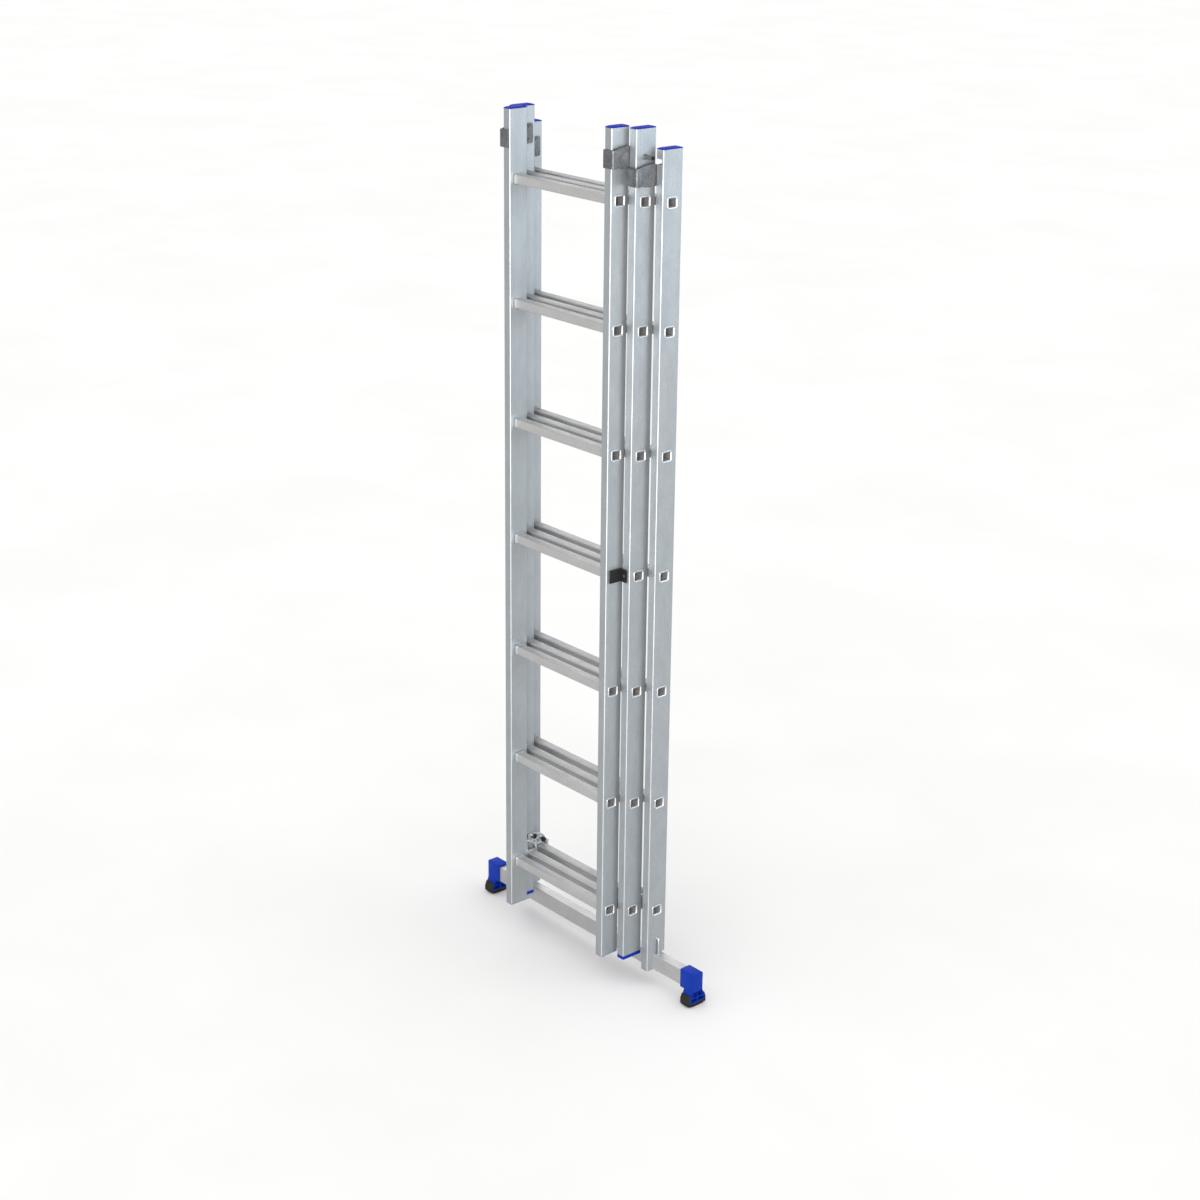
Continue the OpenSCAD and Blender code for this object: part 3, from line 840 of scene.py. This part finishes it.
@dataclass
class EndCap:
    """Moulded cap pressed into a stile's end, with a pillowed face."""

    rim: float = 1.5
    dome: float = 4.6
    proud: float = 0.5
    corner: float = 3.0
    plug_length: float = 12.0
    plug_inset: float = 1.75
    plug_chamfer: float = 1.0
    edge: float = 0.35  # quick rise just inside the rim
    swell: float = 4.0  # distance in from the rim over which the face swells
    rim_bow: float = 0.35  # share of the bow that the rim itself has
    insets: tuple[float, ...] = (0.0, 0.25, 0.8, 1.6, 2.8, 4.4, 6.4, 8.6, 10.4)

    def rings(self, width: float, depth: float) -> list[tuple[Outline, Callable[[float], float]]]:
        """Outlines of the cap with the height of their points.

        Args:
            width: Stile thickness.
            depth: Stile size from front to back.

        Returns:
            Pairs of an outline and a function from depth to height.
        """
        half = depth / 2

        def level(z: float) -> Callable[[float], float]:
            """Height that is the same all round."""
            return lambda v: z

        def pillow(inset: float) -> Callable[[float], float]:
            """Height that bows from front to back and swells in from the rim.

            Args:
                inset: Distance in from the rim.

            Returns:
                The height as a function of depth.
            """
            swell = 1 - (1 - min(inset / self.swell, 1.0)) ** 2
            share = self.rim_bow + (1 - self.rim_bow) * swell
            bow = (self.dome - self.edge) * share
            foot = self.rim + self.edge * swell
            return lambda v: foot + bow * (1 - min(1.0, abs(v) / half) ** 2)

        across, back = width - 2 * self.plug_inset, depth - 2 * self.plug_inset
        taper = self.plug_chamfer
        plug = rounded_outline(across, back, 1.2)
        tip = rounded_outline(across - taper, back - taper, 1.0)
        lip = rounded_outline(width + 2 * self.proud, depth + 2 * self.proud, self.corner)
        out = [(tip, level(-self.plug_length)), (plug, level(taper - self.plug_length))]
        out += [(plug, level(0.0)), (lip, level(0.0)), (lip, level(self.rim - 0.3))]
        for inset in self.insets:
            grow = 2 * (self.proud - inset)
            out.append((rounded_outline(width + grow, depth + grow, self.corner), pillow(inset)))
        return out

    def build(self, shell: Shell, low: Vector, high: Vector, up: float = 1.0) -> None:
        """Adds one cap to a sketch.

        Args:
            shell: Sketch that takes the cap.
            low: Lowest corner of the stile.
            high: Highest corner of the stile.
            up: 1 for a cap on top, -1 for one underneath.
        """
        middle = Vector(((low.x + high.x) / 2, (low.y + high.y) / 2, high.z if up > 0 else low.z))
        rings = self.rings((high.x - low.x) / MM, (high.y - low.y) / MM)
        shell.loft(
            [
                [middle + Vector((u, v, up * height(v))) * MM for u, v in outline]
                for outline, height in rings
            ]
        )


@dataclass
class LadderSection:
    """One section of the ladder: two stiles, its rungs and its end caps."""

    key: str
    finishes: Finishes
    rungs: int = 7
    rung: FlaredRung = field(default_factory=FlaredRung)
    cap: EndCap = field(default_factory=EndCap)

    @property
    def body(self) -> str:
        """CAD body that carries the section."""
        return f"{self.key}_section"

    def build(self) -> None:
        """Dresses the stiles and builds the rungs and caps."""
        for side in Side:
            dress(f"{self.key}_{side.word}_stile", self.finishes.stile)
        low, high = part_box(f"{self.key}_right_stile")
        name = f"{self.key}_rung"
        mesh = self.rung.build(low.x / MM, high.x / MM, name, self.finishes)
        for i in range(1, self.rungs + 1):
            node = f"{self.key}_rung_{i}"
            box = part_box(node)
            piece = bpy.data.objects.new(f"flared_{node}", mesh)
            bpy.context.scene.collection.objects.link(piece)
            piece.location = (box[0] + box[1]) / 2
            fit_piece(piece, self.body, "aluminium_extrusion", node)
        for side in Side:
            self.build_cap(side)

    def build_cap(self, side: Side) -> None:
        """Builds the cap on one stile.

        Args:
            side: Side of the stile.
        """
        shell = Shell()
        self.cap.build(shell, *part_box(f"{self.key}_{side.word}_stile"))
        piece = shell.build(f"{self.key}_{side.word}_end_cap", self.finishes.blue)
        fit_piece(piece, self.body, "blue_plastic", f"{self.key}_{side.word}_cap")


def dress(node: str, finish: Material) -> None:
    """Gives a CAD node its finish.

    Args:
        node: CAD node that stays in view.
        finish: Its material.
    """
    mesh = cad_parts[node].data
    mesh.materials.clear()
    mesh.materials.append(finish)
    log.info("%s stays as modelled, in %s", node, finish.name)


@dataclass
class BottomCaps:
    """Boots under the middle section and thin plugs under the top section."""

    finishes: Finishes
    boot: EndCap = field(
        default_factory=lambda: EndCap(rim=8.5, dome=3.8, proud=0.2, corner=2.6)
    )
    plug: EndCap = field(
        default_factory=lambda: EndCap(rim=0.8, dome=0.4, proud=0.05, corner=2.5)
    )

    def build(self) -> None:
        """Builds both pairs."""
        for key, cap, node, name in (
            ("mid", self.boot, "mid_boots", "mid_stile_boots"),
            ("top", self.plug, "top_end_plugs", "top_stile_plugs"),
        ):
            shell = Shell()
            for side in Side:
                cap.build(shell, *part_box(f"{key}_{side.word}_stile"), up=-1.0)
            piece = shell.build(name, self.finishes.foot_blue)
            fit_piece(piece, f"{key}_section", "blue_plastic", node)


# ---- steel fittings


@dataclass
class SteelFittings:
    """Guide brackets and rung hooks: pressed steel with tumbled edges."""

    finishes: Finishes
    edge_mm: float = 0.5

    def build(self) -> None:
        """Builds the brackets, hooks and guide clips."""
        for side in Side:
            for node, body, finish in (
                (f"mid_{side.word}_guide", "mid_section", self.finishes.steel),
                (f"base_{side.word}_guide", "base_section", self.finishes.steel),
                (f"top_{side.word}_hook", "top_section", self.finishes.bright_steel),
                (f"mid_{side.word}_hook", "mid_section", self.finishes.bright_steel),
            ):
                piece = softened(node, f"pressed_{node}", finish, self.edge_mm)
                fit_piece(piece, body, "galvanised_steel", node)
        piece = softened("mid_guide_clips", "moulded_guide_clips", self.finishes.nylon, 0.4)
        fit_piece(piece, "mid_section", "black_plastic", "mid_guide_clips")


@dataclass
class Rivets:
    """Domed blind rivets at the places of the CAD ones."""

    finishes: Finishes
    head_d: float = 9.0
    head_h: float = 1.6
    flush_r: float = 3.4
    flush_h: float = 0.45
    flush_sink: float = 0.2
    shank_r: float = 2.3
    shank_length: float = 6.0
    recess_r: float = 1.35  # where the mandrel broke off
    dome_deg: tuple[int, ...] = (0, 12, 25, 40, 55, 70)

    def head(self, shell: Shell, face: Vector, way: Vector, radius: float, height: float) -> None:
        """Adds one domed head with its shank.

        Args:
            shell: Sketch that takes the rivet.
            face: Middle of the head on the plate.
            way: Direction that the head faces.
            radius: Radius of the head in millimetres.
            height: Height of the head in millimetres.
        """
        dome = [
            (radius * math.cos(t), height * (0.25 + 0.75 * math.sin(t)))
            for t in map(math.radians, self.dome_deg)
        ]
        floor = height * 0.6
        recess = [(self.recess_r, height * 0.93), (self.recess_r - 0.15, floor), (0.05, floor)]
        shank = [(self.shank_r, -self.shank_length), (self.shank_r, 0.0), (radius * 0.99, 0.0)]
        shell.revolve(shank + dome + recess, face, way, 24)

    def build(self) -> None:
        """Builds the rivets of all three sections."""
        for key in ("top", "mid", "base"):
            shell = Shell()
            for low, high in solids_of(f"{key}_rivets"):
                middle, size = (low + high) / 2, high - low
                inward = -1.0 if middle.x > 0 else 1.0
                across = size.x > 1.05 * size.z
                if across and abs(size.y - self.head_d * MM) < 0.5 * MM:
                    edge = low.x if middle.x > 0 else high.x
                    face = Vector((edge - inward * self.head_h * MM, middle.y, middle.z))
                    self.head(shell, face, Vector((inward, 0, 0)), self.head_d / 2, self.head_h)
                elif key == "top":
                    face = Vector((middle.x, high.y - self.head_h * MM, middle.z))
                    self.head(shell, face, Vector((0, 1, 0)), self.head_d / 2, self.head_h)
                else:
                    face = Vector((middle.x, low.y + self.flush_sink * MM, middle.z))
                    self.head(shell, face, Vector((0, -1, 0)), self.flush_r, self.flush_h)
            finish = self.finishes.bright_steel if key == "top" else self.finishes.steel
            piece = shell.build(f"{key}_domed_rivets", finish)
            fit_piece(piece, f"{key}_section", "galvanised_steel", f"{key}_rivets")


@dataclass
class SafetyLatch:
    """Swinging latch on each side, with its fluted knob and its pivot bolt."""

    finishes: Finishes
    flutes: int = 12
    flute_depth: float = 0.45
    # (share of the knob's length, share of its radius)
    knob_curve: Curve = (
        (0.0, 0.8), (0.06, 0.86), (0.12, 0.98), (0.2, 1.0), (0.72, 1.0),
        (0.86, 0.95), (0.95, 0.84), (1.0, 0.66), (1.0, 0.4), (0.93, 0.34),
    )
    # (radius, distance back from the crown of the bolt's head)
    bolt_head: Curve = (
        (3.0, 4.0), (6.4, 4.0), (6.5, 3.7), (6.5, 1.4), (6.2, 0.7), (5.4, 0.2),
        (4.2, 0.0), (2.7, 0.0), (2.5, 0.2), (2.5, 2.2), (0.1, 2.4),
    )

    def knob(self, side: Side) -> None:
        """Builds the fluted knob.

        Args:
            side: Side of the ladder.
        """
        node = f"{side.word}_latch_knob"
        low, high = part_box(node)
        back = low.x if side is Side.LEFT else high.x
        radius, length = (high.y - low.y) / 2 / MM, (high.x - low.x) / MM
        shell, steps = Shell(), self.flutes * 6
        rings = []
        for share, scale in self.knob_curve:
            grip = self.flute_depth if 0.15 < share < 0.9 else self.flute_depth * 0.3
            ring = []
            for i in range(steps):
                t = 2 * math.pi * i / steps
                r = radius * scale - grip * (0.5 - 0.5 * math.cos(self.flutes * t))
                ring.append(
                    Vector(
                        (
                            back - side.value * share * length * MM,
                            (low.y + high.y) / 2 + r * math.cos(t) * MM,
                            (low.z + high.z) / 2 + r * math.sin(t) * MM,
                        )
                    )
                )
            rings.append(ring)
        shell.loft(rings)
        piece = shell.build(f"{side.word}_fluted_knob", self.finishes.nylon)
        fit_piece(piece, f"latch_{side.word}", "black_plastic", node)

    def bolts(self) -> None:
        """Builds both pivot bolts, each with a socket in its domed head."""
        shell = Shell()
        for low, high in solids_of("latch_pivot_bolts"):
            middle = (low + high) / 2
            right = middle.x > 0
            tip = Vector((high.x if right else low.x, middle.y, middle.z))
            length = (high.x - low.x) / MM
            profile = [(2.4, 0.0), (3.0, 0.6)] + [(r, length - d) for r, d in self.bolt_head]
            shell.revolve(profile, tip, Vector((-1 if right else 1, 0, 0)), 36)
        piece = shell.build("socket_head_pivot_bolts", self.finishes.dark_steel)
        fit_piece(piece, "mid_section", "blackened_steel", "latch_pivot_bolts")

    def build(self) -> None:
        """Builds the levers, knobs and bolts."""
        for side in Side:
            node = f"{side.word}_latch"
            piece = softened(node, f"pressed_{node}", self.finishes.bright_steel, 0.4)
            fit_piece(piece, f"latch_{side.word}", "galvanised_steel", node)
            self.knob(side)
        self.bolts()


@dataclass
class HingePins:
    """Turned pins for the trestle position, each with a collar and a dark end cap; the cap is
    painted shade at the pin's tip.
    """

    finishes: Finishes
    collar_back: float = 27.0  # from the pin's tip to the back of its collar
    # (radius, height) of the flange, and of the collar from its back
    flange: Curve = ((6.4, 0.0), (6.4, 2.8), (4.0, 3.0))
    collar: Curve = (
        (4.0, 0.0), (6.2, 0.0), (6.4, 0.3), (6.4, 1.1), (6.0, 1.5), (4.2, 1.6), (4.0, 1.9),
    )
    # (radius, distance back from the pin's tip) of its end with a groove, and of its cap
    nose: Curve = (
        (4.0, 7.6), (3.4, 7.2), (3.4, 6.4), (4.0, 6.0), (4.0, 3.0), (3.5, 2.6), (0.1, 2.6),
    )
    cap: Curve = (
        (0.1, 3.2), (4.0, 3.2), (4.35, 3.0), (4.4, 2.6), (4.4, 1.0), (4.1, 0.4), (3.4, 0.05),
        (0.1, 0.0),
    )

    def build(self) -> None:
        """Builds both pins and their end caps."""
        pins, caps = Shell(), Shell()
        for low, high in solids_of("hinge_pins"):
            middle = (low + high) / 2
            right = middle.x > 0
            way = Vector((1 if right else -1, 0, 0))
            root = Vector((low.x if right else high.x, middle.y, middle.z))
            length = (high.x - low.x) / MM
            wall = length - self.collar_back
            profile = list(self.flange) + [(r, wall + h) for r, h in self.collar]
            pins.revolve(profile + [(r, length - d) for r, d in self.nose], root, way, 32)
            caps.revolve([(r, length - d) for r, d in self.cap], root, way, 32)
        piece = pins.build("turned_hinge_pins", self.finishes.steel)
        fit_piece(piece, "mid_section", "galvanised_steel", "hinge_pins")
        # The dark cap is painted shade: it stands where the pin's end lies in shade.
        piece = caps.build("hinge_pin_end_caps", self.finishes.nylon)
        fit_piece(piece, "mid_section", "black_plastic")


# ---- stabiliser


@dataclass
class Stabiliser:
    """Cross bar with its hook bolts, nuts, moulded feet and rubber soles."""

    finishes: Finishes
    thread_pitch: float = 1.25
    thread_depth: float = 0.45
    thread_length: float = 16.0
    bend_gap: float = 0.6  # between the bolt and the middle of its bend
    bend_steps: int = 8
    washer_h: float = 1.2
    nut_flat: float = 5.0
    nut_corner: float = 5.76
    # (distance below the bar, share of the nut's corner radius)
    nut_curve: Curve = ((1.2, 0.93), (1.6, 1.0), (5.8, 1.0), (6.2, 0.93))

    def bolt_path(self, low: Vector, high: Vector) -> list[tuple[Vector, Vector, float]]:
        """Follows one bolt from its threaded end, round the bend and into the stile.

        Args:
            low: Lowest corner of the bolt's box.
            high: Highest corner of the bolt's box.

        Returns:
            Middle, direction and radius of each section.
        """
        sign = 1.0 if low.x > 0 else -1.0
        r = (high.y - low.y) / 2
        shank_x = high.x - r if low.x > 0 else low.x + r
        y, end_z = (low.y + high.y) / 2, high.z - r
        up, bend = Vector((0, 0, 1)), r + self.bend_gap * MM
        path = [(Vector((shank_x, y, low.z)), up, r - 0.8 * MM)]
        for i in range(int(self.thread_length / self.thread_pitch * 2)):
            cut = self.thread_depth * MM if i % 2 else 0.0
            height = low.z + (0.5 + i * self.thread_pitch / 2) * MM
            path.append((Vector((shank_x, y, height)), up, r - cut))
        centre = Vector((shank_x - sign * bend, y, end_z - bend))
        for i in range(self.bend_steps + 1):
            t = math.radians(90 * i / self.bend_steps)
            out = Vector((sign * math.cos(t), 0, math.sin(t)))
            tangent = Vector((-sign * math.sin(t), 0, math.cos(t)))
            path.append((centre + out * bend, tangent, r))
        inner = low.x if low.x > 0 else high.x
        path.append((Vector((inner, y, end_z)), Vector((-sign, 0, 0)), r))
        return path

    def hook_bolts(self) -> None:
        """Builds the bolts: threaded below, bent over into the stile above."""
        shell, sides, across = Shell(), 24, Vector((0, 1, 0))
        for low, high in solids_of("bar_hook_bolts"):
            shell.loft(
                [
                    [
                        centre + (across * math.cos(t) + way.cross(across) * math.sin(t)) * r
                        for t in (2 * math.pi * i / sides for i in range(sides))
                    ]
                    for centre, way, r in self.bolt_path(low, high)
                ]
            )
        piece = shell.build("bent_hook_bolts", self.finishes.bright_steel, SOFT_DEG)
        fit_piece(piece, "base_section", "galvanised_steel", "bar_hook_bolts")

    def nuts(self) -> None:
        """Builds the chamfered nuts with their washers."""
        shell = Shell()
        for low, high in solids_of("bar_nuts"):
            middle = (low + high) / 2
            top = Vector((middle.x, middle.y, high.z))
            down = Vector((0, 0, -1))
            washer_r = (high.y - low.y) / 2 / MM
            edge, thick = washer_r - 0.2, self.washer_h
            washer = [(3.1, 0.0), (edge, 0.0), (washer_r, 0.2), (washer_r, thick - 0.2)]
            shell.revolve(washer + [(edge, thick), (3.1, thick)], top, down, 32)
            rings = []
            for depth, scale in self.nut_curve:
                ring = []
                for i in range(36):
                    t = 2 * math.pi * i / 36
                    turn = (t % (math.pi / 3)) - math.pi / 6
                    reach = min(self.nut_flat / math.cos(turn), self.nut_corner * scale)
                    ring.append(
                        top + Vector((reach * math.cos(t), reach * math.sin(t), -depth)) * MM
                    )
                rings.append(ring)
            shell.loft(rings)
        piece = shell.build("chamfered_nuts", self.finishes.dark_steel)
        fit_piece(piece, "base_section", "blackened_steel", "bar_nuts")

    def build(self) -> None:
        """Builds the bar and all that is fixed to it."""
        # The bar takes the rungs' paler finish, with its painted highlight.
        dress("stabiliser_bar", self.finishes.rung)
        self.hook_bolts()
        self.nuts()
        for side in Side:
            node = f"{side.word}_foot"
            piece = softened(node, f"moulded_{node}", self.finishes.foot_blue, 0.6)
            fit_piece(piece, "base_section", "blue_plastic", node)
            node = f"{side.word}_sole"
            piece = softened(node, f"moulded_{node}", self.finishes.rubber, 0.5)
            fit_piece(piece, "base_section", "black_rubber", node)


# ---- studio


@dataclass(frozen=True)
class SoftBox:
    """One large soft light that is flagged off the floor and the plastics."""

    name: str
    place: tuple[float, float, float]
    target: tuple[float, float, float]
    size: tuple[float, float]
    watts: float
    colour: str = "#FFFFFF"

    def build(self, matt: Sequence[Piece]) -> None:
        """Hangs the light.

        Args:
            matt: The floor and the plastic pieces, which the light leaves alone.
        """
        data = bpy.data.lights.new(self.name, "AREA")
        data.shape = "RECTANGLE"
        data.size, data.size_y = self.size
        data.energy = self.watts
        data.color = linear(self.colour)[:3]
        lamp = bpy.data.objects.new(self.name, data)
        lamp.location = self.place
        way = Vector(self.target) - Vector(self.place)
        lamp.rotation_euler = way.to_track_quat("-Z", "Y").to_euler()
        lamp.visible_camera = False
        bpy.context.scene.collection.objects.link(lamp)
        spared = bpy.data.collections.new(self.name + " flag")
        for thing in matt:
            spared.objects.link(thing)
        for member in spared.collection_objects:
            member.light_linking.link_state = "EXCLUDE"
        lamp.light_linking.receiver_collection = spared


@dataclass(frozen=True)
class DistantGlow:
    """Very soft light from far away, the same on the whole floor."""

    name: str
    source: tuple[float, float, float]
    strength: float
    angle_deg: float
    colour: str = "#FFFFFF"

    def build(self) -> None:
        """Hangs the light."""
        data = bpy.data.lights.new(self.name, "SUN")
        data.energy = self.strength
        data.angle = math.radians(self.angle_deg)
        data.color = linear(self.colour)[:3]
        lamp = bpy.data.objects.new(self.name, data)
        lamp.location = self.source
        lamp.rotation_euler = (-Vector(self.source)).to_track_quat("-Z", "Y").to_euler()
        bpy.context.scene.collection.objects.link(lamp)


@dataclass
class Studio:
    """Pale floor, soft light and the camera."""

    camera_place: tuple[float, float, float] = (3.8124, -3.2406, 2.7665)
    camera_yaw: float = 49.047
    camera_dip: float = 20.264
    camera_roll: float = 0.672
    lens_mm: float = 68.81
    # (radius, height) in millimetres; the drop keeps the paper clear of the soles
    floor_curve: Curve = ((50.0, -0.6), (12e3, -0.6), (60e3, -0.6))
    world: str = "#FFFFFF"
    world_strength: float = 0.99
    glow: DistantGlow = DistantGlow("overhead glow", (0.6, -0.8, 2.6), 0.75, 70, "#FFFCF8")
    soft_boxes: tuple[SoftBox, ...] = (
        SoftBox("camera side", (4.9, -4.3, 1.7), (0, 0, 1.0), (3.8, 3.6), 1250, "#FFFAF8"),
        SoftBox("back left", (-4.2, 3.6, 2.7), (0, 0, 1.2), (3.4, 3.0), 75, "#FCFDFF"),
        SoftBox("cool side", (3.6, 3.2, 3.0), (0, 0, 1.5), (2.6, 2.6), 115, "#DFF1FF"),
    )

    def floor(self) -> Piece:
        """Lays the floor, a sheet of paper whose far edge is lost in the light."""
        shell, up = Shell(), Vector((0, 0, 1))
        shell.revolve(self.floor_curve, Vector(), up, 64, last_cap=False)
        sheet = shell.build("floor", BackdropPaper().build())
        return sheet

    def camera(self) -> None:
        """Sets up the camera."""
        data = bpy.data.cameras.new("camera")
        data.lens = self.lens_mm
        data.sensor_width = 36.0
        data.clip_end = 200.0
        camera = bpy.data.objects.new("camera", data)
        turn = (
            Matrix.Rotation(math.radians(self.camera_yaw), 4, "Z")
            @ Matrix.Rotation(math.radians(90 - self.camera_dip), 4, "X")
            @ Matrix.Rotation(math.radians(self.camera_roll), 4, "Z")
        )
        camera.matrix_world = Matrix.Translation(self.camera_place) @ turn
        bpy.context.scene.collection.objects.link(camera)
        bpy.context.scene.camera = camera

    def sky(self) -> None:
        """Fills the studio with even light."""
        world = bpy.data.worlds.new("studio")
        world.use_nodes = True
        tree = world.node_tree
        tree.nodes.clear()
        glow = add_node(
            tree, "Background", {"Color": linear(self.world), "Strength": self.world_strength}
        )
        add_node(tree, "OutputWorld", {"Surface": glow.outputs[0]})
        bpy.context.scene.world = world

    def build(self, finishes: Finishes) -> None:
        """Sets the studio up.

        Args:
            finishes: The ladder's finishes.
        """
        bpy.context.scene.view_settings.view_transform = "Standard"
        matt = [self.floor()]
        matt += [
            thing
            for thing in bpy.context.scene.objects
            if thing.type == "MESH" and thing.data.materials
            and thing.data.materials[0] in (
                finishes.blue, finishes.foot_blue, finishes.nylon, finishes.rubber
            )
        ]
        self.camera()
        self.sky()
        self.glow.build()
        for box in self.soft_boxes:
            box.build(matt)
        log.info("studio is lit with one glow and %d soft boxes", len(self.soft_boxes))


def main() -> None:
    """Builds every sub-assembly in order."""
    logging.basicConfig(level=logging.INFO, format="%(name)s: %(message)s")
    finishes = Finishes()
    for key in ("top", "mid", "base"):
        LadderSection(key, finishes).build()
    BottomCaps(finishes).build()
    SteelFittings(finishes).build()
    Rivets(finishes).build()
    SafetyLatch(finishes).build()
    HingePins(finishes).build()
    Stabiliser(finishes).build()
    Studio().build(finishes)


if __name__ == "__main__":
    main()
